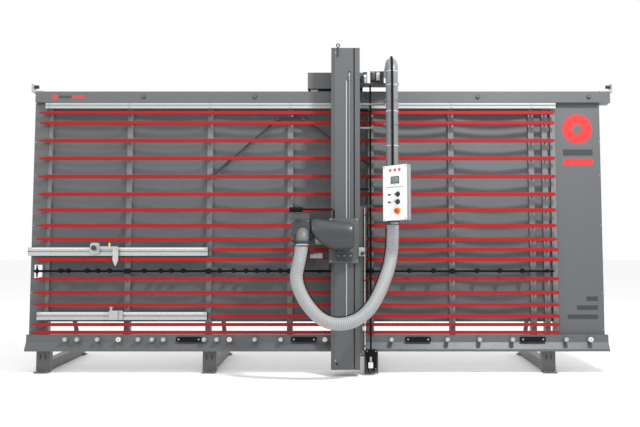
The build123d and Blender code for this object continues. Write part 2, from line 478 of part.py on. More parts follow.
def swivel_head():
    x0, x1 = -265.0, -112.0
    low, high, s = 1124.0, 1353.0, 3.0
    outer = plate([(HEAD_FRONT + 12, low), (HEAD_BACK, low), (HEAD_BACK, high + 22), (HEAD_FRONT + 40, high), (HEAD_FRONT, high - 45),
                   (HEAD_FRONT, low + 12)], "x", x0, x1)
    inner = plate([(HEAD_FRONT + 14, low + s), (HEAD_BACK + 5, low + s), (HEAD_BACK + 5, high + 19), (HEAD_FRONT + 41, high - s),
                   (HEAD_FRONT + s, high - 46), (HEAD_FRONT + s, low + 14)], "x", x0 + s, x1 - s)
    hood = outer - inner - rod(AXIS_X, (HEAD_FRONT - 5, HEAD_FRONT + 30), AXIS_W, SPIGOT_R + 0.4)
    hood -= rod((x1 - 10, x1 + 10), MOTOR_V, MOTOR_W, 13)
    node("blade_hood", hood)
    guard = [(HEAD_BACK, 1215), (ARBOR_V + 48, 1215), (ARBOR_V + 48, 1330), (ARBOR_V - 10, 1377), (HEAD_BACK, 1377)]
    node("blade_hood", plate(guard, "x", x0, x0 + s) + block((x0, BLADE_X + 8), (HEAD_BACK, ARBOR_V - 10), (1374, 1377)))
    pin = rod(AXIS_X, (HEAD_BACK, -269), AXIS_W, 14.95) + rod(AXIS_X, (-271.7, -262), AXIS_W, 24)
    pin += rod(AXIS_X, (HEAD_BACK, -286.3), AXIS_W, 26) + block((-205, x1 - s), (HEAD_BACK - 8, HEAD_BACK), (low + s, 1300))
    node("blade_hood", pin)

    body = block((-70, 258), (HEAD_FRONT + 4, HEAD_BACK), (1055, 1318))
    body = fillet(body.edges().filter_by(Axis.X), 60)
    body = fillet(body.faces().sort_by(Axis.X)[-1].edges(), 24)
    hollow = fillet(block((-66, 250), (HEAD_FRONT + 8, HEAD_BACK - 4), (1059, 1314)).edges().filter_by(Axis.X), 56)
    shell = body - hollow - rod((-75, -60), MOTOR_V, MOTOR_W, 13)
    node("motor_cover", shell)
    node("motor", rod((-66, 200), MOTOR_V, MOTOR_W, 88) + rod((-102, -66), MOTOR_V, MOTOR_W, 10)
         + block((40, 120), (-330, -296), (MOTOR_W - 40, MOTOR_W + 40)))
    away = hypot(ARBOR_V - MOTOR_V, ARBOR_W - MOTOR_W)
    slope = degrees(atan2(ARBOR_W - MOTOR_W, ARBOR_V - MOTOR_V))

    def belt_shape(big, small, low_x, high_x):
        """A round-ended shape over the two pulleys, wider at the motor."""
        n = 90 - degrees(atan2(big - small, away))
        ends = []
        for turn in (n, -n):
            a = radians(slope + turn)
            ends.append(((MOTOR_V + big * cos(a), MOTOR_W + big * sin(a)), (ARBOR_V + small * cos(a), ARBOR_W + small * sin(a))))
        quad = [ends[0][0], ends[0][1], ends[1][1], ends[1][0]]
        return (plate(quad, "x", low_x, high_x) + rod((low_x, high_x), MOTOR_V, MOTOR_W, big)
                + rod((low_x, high_x), ARBOR_V, ARBOR_W, small))

    case = belt_shape(38, 33, -108, -70) - belt_shape(35, 30, -105, -73)
    case -= rod((-80, -60), MOTOR_V, MOTOR_W, 13)
    case -= rod((-115, -100), ARBOR_V, ARBOR_W, 17)
    node("motor_cover", case)
    node("drive_belt", belt_shape(29, 24, *BELT_X) - belt_shape(26.2, 21.2, BELT_X[0] - 1, BELT_X[1] + 1))
    node("motor_pulley", pipe((-98, -80), MOTOR_V, MOTOR_W, 26, 10.05))
    node("blade_hood", pipe((-205, -105), ARBOR_V, ARBOR_W, 17, 12.05))
    node("arbor", rod((BLADE_X - 14, -78), ARBOR_V, ARBOR_W, 12) + rod((-100, -80), ARBOR_V, ARBOR_W, 21)
         + rod((BLADE_X + BLADE_T / 2, BLADE_X + 14), ARBOR_V, ARBOR_W, 28))
    node("arbor", pipe((BLADE_X - 9, BLADE_X - BLADE_T / 2), ARBOR_V, ARBOR_W, 28, 12)
         + pipe((BLADE_X - 20, BLADE_X - 9), ARBOR_V, ARBOR_W, 19, 12))
    points, teeth = [], 40
    for i in range(teeth):
        a = 2 * pi * i / teeth
        for turn, r in ((0, BLADE_R), (0.35, BLADE_R - 2), (0.5, BLADE_R - 9), (0.8, BLADE_R - 8)):
            t = a + turn * 2 * pi / teeth
            points.append((ARBOR_V + r * cos(t), ARBOR_W + r * sin(t)))
    blade = plate(points, "x", BLADE_X - BLADE_T / 2, BLADE_X + BLADE_T / 2) - rod((-240, -210), ARBOR_V, ARBOR_W, 12)
    node("saw_blade", blade)
    node("handle_bar", rod((-172, 97), -420, 1392, 8) + rod(90, -420, (1318, 1392), 8))
    node("handle_bar", fillet(block((-284, -172), (-440, -400), (1370, 1410)).edges().filter_by(Axis.X), 14))
    node("handle_bar", rod(-205, (-512, HEAD_FRONT), 1296, 14))


def hose():
    """The free hose: straight runs joined by arcs as large as the runs allow."""
    points = [Vector(*p) for p in HOSE_POINTS]
    radii = []
    for before, here, after in zip(points, points[1:], points[2:]):
        turn = (here - before).get_angle(after - here)
        radii.append(0.45 * min((here - before).length, (after - here).length) / tan(radians(turn) / 2))
    path = FilletPolyline(*points, radius=radii)
    start = Plane(origin=points[0], z_dir=path % 0)
    tube = sweep(start * Circle(HOSE_R), path=path)
    print("hose radii", [round(r) for r in radii], "length", round(path.length))
    print("hose volume over section times length", round(tube.volume / (pi * HOSE_R ** 2 * path.length), 4))
    node("hose", tube)


os.makedirs("parts", exist_ok=True)
frame()
slats()
rollers()
middle_support()
stop_rails()
upper_stop()
lower_stop()
feet()
end_stops()
column()
counterweight()
dust_duct()
control_box()
carriage()
elbow()
plunge()
swivel_head()
hose()
for name, solids in nodes.items():
    export_step(solids[0] if len(solids) == 1 else Compound(children=solids), f"parts/{name}.step")
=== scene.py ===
"""Looks of the vertical panel saw: finishes for its parts, and the pieces that carry its fine detail."""
from math import cos, pi, radians, sin

import bmesh
import bpy
from mathutils import Matrix, Vector


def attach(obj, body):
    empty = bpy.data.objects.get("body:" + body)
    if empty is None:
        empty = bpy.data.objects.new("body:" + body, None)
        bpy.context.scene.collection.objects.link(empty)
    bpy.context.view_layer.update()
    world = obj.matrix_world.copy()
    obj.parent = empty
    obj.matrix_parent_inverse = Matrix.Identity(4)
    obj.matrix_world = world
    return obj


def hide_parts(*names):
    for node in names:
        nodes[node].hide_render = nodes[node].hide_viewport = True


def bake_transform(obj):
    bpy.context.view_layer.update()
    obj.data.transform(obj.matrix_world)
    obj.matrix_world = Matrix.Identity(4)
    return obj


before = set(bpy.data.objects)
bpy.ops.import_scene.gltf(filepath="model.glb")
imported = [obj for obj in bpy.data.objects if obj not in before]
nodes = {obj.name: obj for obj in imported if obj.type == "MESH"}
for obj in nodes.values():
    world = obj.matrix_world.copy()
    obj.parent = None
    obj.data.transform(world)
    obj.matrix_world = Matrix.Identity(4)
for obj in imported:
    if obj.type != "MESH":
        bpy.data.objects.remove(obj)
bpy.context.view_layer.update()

# The frame leans back by 5 degrees. A place in it is (x, v, w) in millimetres: x along the machine, v into the
# depth and w up the lean. SHIFT_X and SHIFT_Y are the place of its origin on the floor, in the machine's own axes.
TILT = radians(5.0)
SHIFT_X, SHIFT_Y = 21, -356.5
LEANED = Matrix(((1, 0, 0, SHIFT_X / 1000), (0, cos(TILT), sin(TILT), SHIFT_Y / 1000),
                 (0, -sin(TILT), cos(TILT), 0), (0, 0, 0, 1)))
# The control box is turned towards the worker; its own axes start at the left edge of its face, half way up.
BOX_YAW = radians(38.0)
BOX_AXES = LEANED @ (Matrix.Translation((0.504, -0.400, 1.527)) @ Matrix.Rotation(-BOX_YAW, 4, "Z"))
BOX_WIDE, BOX_HALF_HIGH = 240, 231.5


def lean(x, v, w):
    """A place in the leaning frame, as a point in the machine's own axes and in metres."""
    return LEANED @ (Vector((x, v, w)) / 1000)


# ---- camera, light and floor
CAMERA_AT = (0.1785, -8.3215, 1.25)
LENS_MM, SENSOR_MM = 51.36, 36.0
LENS_SHIFT = (-0.0344, 0.0258)
LAMPS_AIM = (0.2, 0, 1.2)
# name, place, width of the square lamp in metres, power in watts
LAMPS = (("key", (2.4, -2.6, 5.4), 0.6, 270), ("fill", (-3.0, -5.0, 5.0), 2.5, 60),
         ("side", (-6.0, -5.0, 4.0), 3.0, 35), ("rear", (2.0, 6.0, 5.0), 5.0, 60))


def studio():
    """The front camera, the lamps, the white surroundings and the floor."""
    camera = bpy.data.objects.new("camera", bpy.data.cameras.new("camera"))
    bpy.context.collection.objects.link(camera)
    camera.location = CAMERA_AT
    camera.rotation_euler = (pi / 2, 0, 0)
    camera.data.lens, camera.data.sensor_width = LENS_MM, SENSOR_MM
    camera.data.shift_x, camera.data.shift_y = LENS_SHIFT
    camera.data.clip_end = 200
    bpy.context.scene.camera = camera
    for name, place, size, power in LAMPS:
        lamp = bpy.data.objects.new(name, bpy.data.lights.new(name, "AREA"))
        lamp.data.size, lamp.data.energy = size, power
        lamp.location = place
        lamp.rotation_euler = (Vector(LAMPS_AIM) - Vector(place)).to_track_quat("-Z", "Y").to_euler()
        bpy.context.collection.objects.link(lamp)
    world = bpy.data.worlds.new("studio")
    world.use_nodes = True
    world.node_tree.nodes["Background"].inputs["Color"].default_value = (1, 1, 1, 1)
    world.node_tree.nodes["Background"].inputs["Strength"].default_value = 1.0
    bpy.context.scene.world = world
    bpy.context.scene.view_settings.view_transform = "Standard"
    # the floor lies 2 mm under the feet
    floor = mesh_piece("floor", lambda work: bmesh.ops.create_grid(work, x_segments=1, y_segments=1, size=30,
                                                                  matrix=Matrix.Translation((0, 0, -0.002))))
    paint = Paint("floor_white", (0.93, 0.93, 0.93), 0.85)
    dust = paint.add("ShaderNodeTexNoise", {}, {"Scale": 0.6, "Detail": 3})["Fac"]
    paint.feed("Roughness", 0.8 + dust * 0.1)
    floor.data.materials.append(paint.material)


# ---- shader arithmetic and finishes
class Wire:
    """One socket of a shader, which takes part in Python sums."""

    def __init__(self, paint, socket):
        self.paint, self.socket = paint, socket

    def sum(self, operation, *values):
        made = self.paint.add("ShaderNodeMath", {"operation": operation}, dict(enumerate(values)))
        return made["Value"]

    def __add__(self, other):
        return self.sum("ADD", self, other)

    def __sub__(self, other):
        return self.sum("SUBTRACT", self, other)

    def __mul__(self, other):
        return self.sum("MULTIPLY", self, other)

    def __gt__(self, other):
        return self.sum("GREATER_THAN", self, other)

    def __lt__(self, other):
        return self.sum("LESS_THAN", self, other)

    __radd__, __rmul__ = __add__, __mul__


class Made:
    """A node that was added: its outputs by name."""

    def __init__(self, paint, node):
        self.paint, self.node = paint, node

    def __getitem__(self, name):
        return Wire(self.paint, self.node.outputs[name])


class Paint:
    """A material with its own node tree, built on the principled shader."""

    def __init__(self, name, colour, roughness, metallic=0.0, coat=0.0):
        self.material = bpy.data.materials.new(name)
        self.material.use_nodes = True
        self.tree = self.material.node_tree
        self.shader = self.tree.nodes["Principled BSDF"]
        self.shader.inputs["Base Color"].default_value = (*colour, 1)
        self.shader.inputs["Roughness"].default_value = roughness
        self.shader.inputs["Metallic"].default_value = metallic
        self.shader.inputs["Coat Weight"].default_value = coat
        self.shader.inputs["Coat Roughness"].default_value = 0.12
        self.place = self.add("ShaderNodeTexCoord")["Object"]

    def join(self, socket, value):
        """Feed a socket from a wire, or set its constant."""
        if isinstance(value, Wire):
            self.tree.links.new(value.socket, socket)
        elif socket.type == "RGBA" and len(value) == 3:
            socket.default_value = (*value, 1)
        else:
            socket.default_value = value

    def add(self, kind, settings=None, sockets=None):
        """Add a node of one kind, with its settings and what its sockets are fed with."""
        node = self.tree.nodes.new(kind)
        for key, value in (settings or {}).items():
            setattr(node, key, value)
        for key, value in (sockets or {}).items():
            self.join(node.inputs[key], value)
        return Made(self, node)

    def feed(self, name, value):
        self.join(self.shader.inputs[name], value)

    def noise(self, scale, detail=3.0, stretch=(1, 1, 1), rough=0.5):
        spot = self.add("ShaderNodeMapping", {}, {"Vector": self.place, "Scale": stretch})["Vector"]
        return self.add("ShaderNodeTexNoise", {}, {"Vector": spot, "Scale": scale, "Detail": detail,
                                                   "Roughness": rough})["Fac"]

    def tint(self, factor, dark, light):
        """A colour between two, by a factor from 0 to 1."""
        node = self.tree.nodes.new("ShaderNodeMix")
        node.data_type = "RGBA"
        self.join(node.inputs["Factor"], factor)
        self.join(next(s for s in node.inputs if s.name == "A" and s.type == "RGBA"), dark)
        self.join(next(s for s in node.inputs if s.name == "B" and s.type == "RGBA"), light)
        return Wire(self, next(s for s in node.outputs if s.type == "RGBA"))

    def bump(self, height, strength, distance=0.001):
        made = self.add("ShaderNodeBump", {}, {"Height": height, "Strength": strength, "Distance": distance})
        self.feed("Normal", made["Normal"])

    def axis(self, name):
        return self.add("ShaderNodeSeparateXYZ", {}, {"Vector": self.place})[name]


def scaled(colour, by):
    return tuple(min(1.0, part * by) for part in colour)


def enamel_tone(paint, colour):
    """Slow and fine changes of tone about a colour, and the fine noise by itself."""
    slow, fine = paint.noise(1.6, 4), paint.noise(38, 5)
    return paint.tint(slow * 0.75 + fine * 0.25, scaled(colour, 0.86), scaled(colour, 1.13)), fine


def enamel(name, colour, roughness=0.45, grain=420, depth=0.12, coat=0.0, shine=0.5):
    """Powder-coated metal: a fine orange peel and slow changes of tone and gloss."""
    paint = Paint(name, colour, roughness, 0.0, coat)
    paint.shader.inputs["Specular IOR Level"].default_value = shine
    tone, fine = enamel_tone(paint, colour)
    paint.feed("Base Color", tone)
    paint.feed("Roughness", roughness - 0.06 + fine * 0.14)
    paint.bump(paint.noise(grain, 2), depth, 0.0006)
    return paint.material


def brushed(name, colour, roughness=0.32, along=(1, 60, 60), metallic=1.0):
    """Drawn or brushed metal, with its lines along one axis."""
    paint = Paint(name, colour, roughness, metallic)
    lines = paint.noise(14, 6, along, 0.65)
    stain = paint.noise(3.5, 4)
    paint.feed("Base Color", paint.tint(lines * 0.6 + stain * 0.4, scaled(colour, 0.8), scaled(colour, 1.12)))
    paint.feed("Roughness", roughness - 0.08 + lines * 0.2)
    paint.bump(lines, 0.12, 0.0004)
    return paint.material


def moulded(name, colour, roughness=0.5, grain=900):
    """Moulded plastic or rubber with a fine grain and some dust."""
    paint = Paint(name, colour, roughness)
    dust = paint.noise(9, 5, rough=0.6)
    paint.feed("Base Color", paint.tint(dust, scaled(colour, 0.85), tuple(part * 0.92 + 0.02 for part in colour)))
    paint.feed("Roughness", roughness - 0.05 + dust * 0.15)
    paint.bump(paint.noise(grain, 2), 0.15, 0.0004)
    return paint.material


def hose_skin():
    """Ribbed hose: painted highlight on the crests and painted shade in the valleys, with grey dust all over."""
    paint = Paint("hose_skin", (0.60, 0.61, 0.63), 0.42)
    rib = paint.add("ShaderNodeAttribute", {"attribute_name": "rib"})["Fac"]
    dust = paint.noise(14, 5, rough=0.6)
    # the rib value lightens the crests and darkens the valleys: painted highlight and painted shade
    paint.feed("Base Color", paint.tint(rib * 0.8 + dust * 0.2, (0.19, 0.195, 0.2), (0.40, 0.41, 0.415)))
    paint.feed("Roughness", 0.36 + dust * 0.2)
    paint.bump(paint.noise(240, 3), 0.1, 0.0008)
    return paint.material


def column_paint():
    """Grey enamel, with the bright guide strip down the column's front."""
    grey = (0.078, 0.083, 0.088)
    paint = Paint("column_grey", grey, 0.4)
    enamelled, fine = enamel_tone(paint, grey)
    # metres of the leaning frame; the strip lies between two x and in front of the column's face
    x, depth = paint.axis("X"), (paint.axis("Y") + -SHIFT_Y / 1000) * cos(TILT) - paint.axis("Z") * sin(TILT)
    strip = (x > 0.2118) * (x < 0.2222) * (depth < -0.1953)
    paint.feed("Base Color", paint.tint(strip, enamelled, (0.42, 0.435, 0.44)))
    paint.feed("Metallic", strip * 0.6)
    paint.feed("Roughness", 0.34 + fine * 0.14)
    paint.bump(paint.noise(420, 2), 0.12, 0.0006)
    return paint.material


def roller_paint():
    """Zinc-grey support rollers with a turned sheen and scuffs."""
    paint = Paint("roller_zinc", (0.3, 0.3, 0.3), 0.4, 0.5)
    scuff, fine = paint.noise(26, 5, rough=0.65), paint.noise(160, 3, (1, 0.2, 1))
    paint.feed("Base Color", paint.tint(scuff * 0.6 + fine * 0.4, (0.12, 0.12, 0.12), (0.45, 0.45, 0.44)))
    paint.feed("Roughness", 0.3 + scuff * 0.25)
    paint.bump(fine, 0.15, 0.0004)
    return paint.material


FINISHES = {
    "frame": enamel("frame_grey", (0.088, 0.093, 0.098), 0.42),
    "front": enamel("post_grey", (0.155, 0.163, 0.17), 0.42),
    "sheet": enamel("sheet_grey", (0.105, 0.11, 0.117), 0.5),
    "slat": enamel("slat_red", (0.30, 0.009, 0.010), 0.55, 300, 0.08, 0.0, 0.18),
    "dark": enamel("bracket_black", (0.028, 0.03, 0.033), 0.45),
    "head": enamel("head_grey", (0.03, 0.033, 0.036), 0.38, 520, 0.1, 0.15),
    "column": column_paint(),
    "box": enamel("box_white", (0.76, 0.77, 0.77), 0.38, 600, 0.06, 0.2),
    # the control box's side and low walls: a darker grey that paints the shade on the white box's unlit sides
    "box_side_painted_shade": enamel("box_side_painted_shade", (0.27, 0.275, 0.28), 0.4),
    "duct": enamel("duct_grey", (0.16, 0.17, 0.177), 0.36),
    "rail": enamel("rail_light", (0.36, 0.38, 0.38), 0.38),
    "roller": roller_paint(),
    "steel": brushed("bright_steel", (0.60, 0.60, 0.60), 0.3),
    "blade": brushed("blade_steel", (0.55, 0.55, 0.56), 0.24, (30, 30, 30)),
    "aluminium": brushed("drawn_aluminium", (0.46, 0.47, 0.48), 0.42, metallic=0.75),
    "casting": brushed("motor_casting", (0.3, 0.3, 0.31), 0.55, (8, 8, 8), 0.8),
    "iron": enamel("weight_iron", (0.05, 0.05, 0.055), 0.7, 90, 0.4),
    "rubber": moulded("black_rubber", (0.02, 0.02, 0.022), 0.7),
    "plastic": moulded("black_plastic", (0.018, 0.018, 0.02), 0.45),
    "deep": enamel("deep_black", (0.006, 0.006, 0.007), 0.6, 300, 0.1, 0.0, 0.1),
    "white_plastic": moulded("white_plastic", (0.72, 0.72, 0.70), 0.4),
    "red_plastic": moulded("signal_red", (0.62, 0.025, 0.015), 0.28, 500),
    "yellow_plastic": moulded("signal_yellow", (0.78, 0.55, 0.03), 0.35, 500),
    "elbow": moulded("elbow_grey", (0.12, 0.125, 0.13), 0.45),
    "zinc": brushed("zinc_plate", (0.30, 0.31, 0.32), 0.5, metallic=0.6),
    "screen": moulded("screen_glass", (0.16, 0.21, 0.20), 0.12, 1500),
    "red_mark": enamel("mark_red", (0.55, 0.02, 0.02), 0.4),
    "dark_mark": enamel("mark_dark", (0.03, 0.032, 0.036), 0.4),
    "hose": hose_skin(),
}
# A node that is not named here has the frame's grey.
NODE_FINISH = {
    "back_sheets": "sheet", "tension_rods": "dark", "slats": "slat", "posts": "front", "slat_brackets": "front",
    "bottom_rollers": "roller", "top_rail": "rail", "roller_pins": "steel", "support_blocks": "deep",
    "mid_bearings": "deep",
    "stop_rails": "aluminium", "end_buffers": "rubber", "end_stop_brackets": "rail", "dust_elbow": "elbow",
    "mid_shaft": "deep",
    "mid_rollers": "deep",
    "stop_upper": "aluminium", "stop_finger": "steel", "stop_lower": "aluminium", "lifting_eye": "dark",
    "guide_rollers": "plastic", "brake_tube": "deep", "bottom_brake": "deep", "valve_boxes": "dark", "duct": "duct",
    "duct_clamps": "duct", "control_box": "box", "box_bracket": "dark", "column_wheel_left": "steel",
    "column_wheel_right": "steel", "counterweight": "iron", "rope_pulley": "steel", "switch_lower": "plastic",
    "switch_upper": "plastic", "estop_button": "red_plastic", "column": "column", "carriage_plate": "frame",
    "carriage_fittings": "dark", "hose_arm": "dark", "blade_hood": "head", "motor_cover": "head",
    "motor": "casting", "drive_belt": "rubber", "handle_bar": "deep", "arbor": "steel", "saw_blade": "blade",
    "motor_pulley": "aluminium", "plunge_plate": "frame",
}


def mesh_piece(name, make, at=None, finish=None, smooth=None):
    """A piece that make(work) builds with bmesh operators, moved to its place; smooth is an angle in degrees."""
    work = bmesh.new()
    make(work)
    if at is not None:
        bmesh.ops.transform(work, matrix=at, verts=work.verts)
    mesh = bpy.data.meshes.new(name)
    work.to_mesh(mesh)
    work.free()
    piece = bpy.data.objects.new(name, mesh)
    bpy.context.collection.objects.link(piece)
    if finish:
        mesh.materials.append(FINISHES[finish])
    if smooth is not None:
        mesh.shade_smooth()
        mesh.set_sharp_from_angle(angle=radians(smooth))
    return piece


def only_verts(made):
    return [g for g in made if isinstance(g, bmesh.types.BMVert)]


studio()
for name, part in nodes.items():
    for slot in part.material_slots:
        slot.material = FINISHES[NODE_FINISH.get(name, "frame")]


# ---- the hose and the ropes
# the middle line of the hose, from the end of the duct down, round and up to the dust elbow of the head
HOSE_ROUTE = [(588, -300, 1290), (588, -300, 1120), (566, -328, 945), (522, -380, 815), (470, -425, 690),
              (395, -455, 560), (290, -475, 465), (145, -490, 424), (5, -500, 455), (-95, -515, 545),
              (-176, -530, 665), (-228, -545, 810), (-188, -562, 970), (-170, -562, 1095)]


def route_line(name, points):
    """The smooth line of a route: the points of its spline, as the mesh of a curve gives them."""
    curve = bpy.data.curves.new(name, "CURVE")
    curve.dimensions, curve.resolution_u = "3D", 24
    spline = curve.splines.new("NURBS")
    spline.points.add(len(points) - 1)
    for point, place in zip(spline.points, points):
        point.co = (*place, 1)
    spline.order_u, spline.use_endpoint_u = 3, True
    holder = bpy.data.objects.new(name, curve)
    bpy.context.collection.objects.link(holder)
    bpy.context.view_layer.update()
    line = [v.co.copy() for v in bpy.data.meshes.new_from_object(holder).vertices]
    bpy.data.objects.remove(holder)
    return line


def evenly(line, step):
    """The line again, with its points an equal step apart."""
    lengths = [0.0]
    for a, b in zip(line, line[1:]):
        lengths.append(lengths[-1] + (b - a).length)
    count = max(2, round(lengths[-1] / step))
    points, i = [], 0
    for n in range(count + 1):
        target = lengths[-1] * n / count
        while i < len(line) - 2 and lengths[i + 1] < target:
            i += 1
        part = (target - lengths[i]) / max(1e-9, lengths[i + 1] - lengths[i])
        points.append(line[i].lerp(line[i + 1], min(1, max(0, part))))
    return points


def tube(name, points, radius_at, sides, finish, values=None):
    """A tube of rings along a line of points; radius_at(n) is the radius of ring n."""
    ways = [(points[min(i + 1, len(points) - 1)] - points[max(i - 1, 0)]).normalized() for i in range(len(points))]
    turn = ways[0].to_track_quat("Z", "X")

    def make(work):
        nonlocal turn
        stamp = work.verts.layers.float.new("rib") if values else None
        ring = bmesh.ops.create_circle(work, segments=sides, radius=1.0, cap_ends=False)["verts"]
        bmesh.ops.transform(work, matrix=Matrix.Translation(points[0]) @ turn.to_matrix().to_4x4()
                            @ Matrix.Scale(radius_at(0), 4), verts=ring)
        edges = list(work.edges)
        before = (points[0], turn.copy(), radius_at(0))
        for n in range(1, len(points)):
            made = bmesh.ops.extrude_edge_only(work, edges=edges)["geom"]
            ring = only_verts(made)
            edges = [g for g in made if isinstance(g, bmesh.types.BMEdge)]
            turn = ways[n - 1].rotation_difference(ways[n]) @ before[1]
            size = radius_at(n)
            step = (Matrix.Translation(points[n]) @ turn.to_matrix().to_4x4() @ Matrix.Scale(size / before[2], 4)
                    @ before[1].to_matrix().to_4x4().inverted() @ Matrix.Translation(-before[0]))
            bmesh.ops.transform(work, matrix=step, verts=ring)
            if stamp:
                for vert in ring:
                    vert[stamp] = values(n)
            before = (points[n], turn.copy(), size)
        bmesh.ops.recalc_face_normals(work, faces=work.faces)

    return mesh_piece(name, make, finish=finish, smooth=60)


# metres; a rib of the hose takes HOSE_RINGS rings of its mesh
HOSE_STEP, HOSE_RINGS, HOSE_VALLEY, HOSE_RIB = 0.0028, 5, 0.0512, 0.0036
CABLE_RADIUS, CABLE_OFF = 0.0044, 0.0594


def make_hose():
    """The dust hose with its ribs, and the cable that runs along the inner side of its bend."""
    line = evenly(route_line("hose_line", [lean(*p) for p in HOSE_ROUTE]), HOSE_STEP)
    wave = [0.5 + 0.5 * cos(2 * pi * n / HOSE_RINGS) for n in range(len(line))]
    # each ring is stamped with its place on the rib, which the hose's paint turns into painted highlight on the
    # crests and painted shade in the valleys
    hose = tube("dust_hose", line, lambda n: HOSE_VALLEY + HOSE_RIB * wave[n], 32, "hose", lambda n: wave[n])
    middle, beside = lean(215, -430, 900), []
    for a, b, spot in zip(line, line[2:], line[1:]):
        way = (b - a).normalized()
        inward = middle - spot
        inward = (inward - way * inward.dot(way)).normalized()
        beside.append(spot + inward * CABLE_OFF)
    # each point of the cable is the mean of its neighbours, up to 14 on either side
    near = [beside[max(0, i - 14):i + 15] for i in range(12, len(beside) - 12, 4)]
    wire = tube("hose_cable", [sum(some, Vector()) / len(some) for some in near], lambda n: CABLE_RADIUS, 10,
                "deep")
    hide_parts("hose")
    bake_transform(hose)
    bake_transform(wire)


ROPE_X, ROPE_TOP, ROPE_STEPS = 222, 2590, 240


def balance_ropes():
    """The two runs of the counterweight's rope, from the pulley down to the carriage and to the weight."""
    for name, node, v, low, body in (("rope_front_run", "rope_front", -209, 1334, "carriage"),
                                     ("rope_back_run", "rope_back", -99, 1715, "balance_weight")):
        line = [lean(ROPE_X, v, ROPE_TOP - (ROPE_TOP - low) * n / ROPE_STEPS) for n in range(ROPE_STEPS + 1)]
        rope = tube(name, line, lambda n: 0.0028 + 0.0003 * (n % 2), 12, "zinc")
        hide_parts(node)
        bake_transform(rope)


# ---- small shapes
def block(name, x, v, w, finish, body, bevel=1.5, axes=LEANED, segments=3):
    """A box with rounded edges; x, v and w are its (low, high) along each axis, in millimetres."""
    size = [(high - low) / 1000 for low, high in (x, v, w)]
    middle = Vector([(low + high) / 2000 for low, high in (x, v, w)])

    def make(work):
        bmesh.ops.create_cube(work, size=1.0, matrix=Matrix.Translation(middle) @ Matrix.Diagonal((*size, 1)))
        if bevel:
            bmesh.ops.bevel(work, geom=work.edges[:], offset=min(bevel / 1000, min(size) * 0.45), segments=segments,
                            profile=0.5, affect="EDGES", material=-1, clamp_overlap=True)

    piece = mesh_piece(name, make, axes, finish, 40)
    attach(piece, body)
    return piece


def turned(name, at, way, profile, finish, body, axes=LEANED, sides=40):
    """A turned piece: its profile of (radius, height) pairs is spun about the way axis through a point."""
    stand = Vector(way).to_track_quat("Z", "Y").to_matrix().to_4x4()

    def make(work):
        spots = [work.verts.new((r / 1000, 0, h / 1000)) for r, h in profile]
        edges = [work.edges.new(pair) for pair in zip(spots, spots[1:])]
        bmesh.ops.spin(work, geom=spots + edges, cent=(0, 0, 0), axis=(0, 0, 1), angle=2 * pi, steps=sides,
                       use_merge=True)
        bmesh.ops.remove_doubles(work, verts=work.verts, dist=1e-6)
        bmesh.ops.transform(work, matrix=Matrix.Translation(Vector(at) / 1000) @ stand, verts=work.verts)
        bmesh.ops.recalc_face_normals(work, faces=work.faces)

    piece = mesh_piece(name, make, axes, finish, 35)
    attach(piece, body)
    return piece


def cap(radius, low, high, soft=1.0):
    """Profile of a solid round disc with softened rims."""
    return [(0, low), (radius - soft, low), (radius, low + soft), (radius, high - soft), (radius - soft, high),
            (0, high)]


def ring(outer, inner, low, high, soft=0.8):
    """Profile of a flat ring with softened rims."""
    return [(inner, low), (outer - soft, low), (outer, low + soft), (outer, high - soft), (outer - soft, high),
            (inner, high), (inner, low)]


def outline(name, points, face_v, thick, finish, body, axes=LEANED):
    """A thin flat shape: its outline in (x, w), standing on the face v and thick towards the front."""
    def make(work):
        face = work.faces.new([work.verts.new((x / 1000, face_v / 1000, w / 1000)) for x, w in points])
        made = bmesh.ops.extrude_face_region(work, geom=[face])["geom"]
        bmesh.ops.translate(work, vec=(0, -thick / 1000, 0), verts=only_verts(made))
        bmesh.ops.recalc_face_normals(work, faces=work.faces)

    piece = mesh_piece(name, make, axes, finish)
    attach(piece, body)
    return piece


def screw(name, at, way, body, size=7, axes=LEANED, finish="zinc"):
    """A round-headed screw with a washer."""
    profile = [(size * 1.35, 0), (size * 1.35, 1.5), (size, 1.5), (size * 0.96, 4), (size * 0.6, 5.5),
               (size * 0.35, 5.6),
               (size * 0.35, 3.6), (0, 3.6)]
    return turned(name, at, way, profile, finish, body, axes, 24)


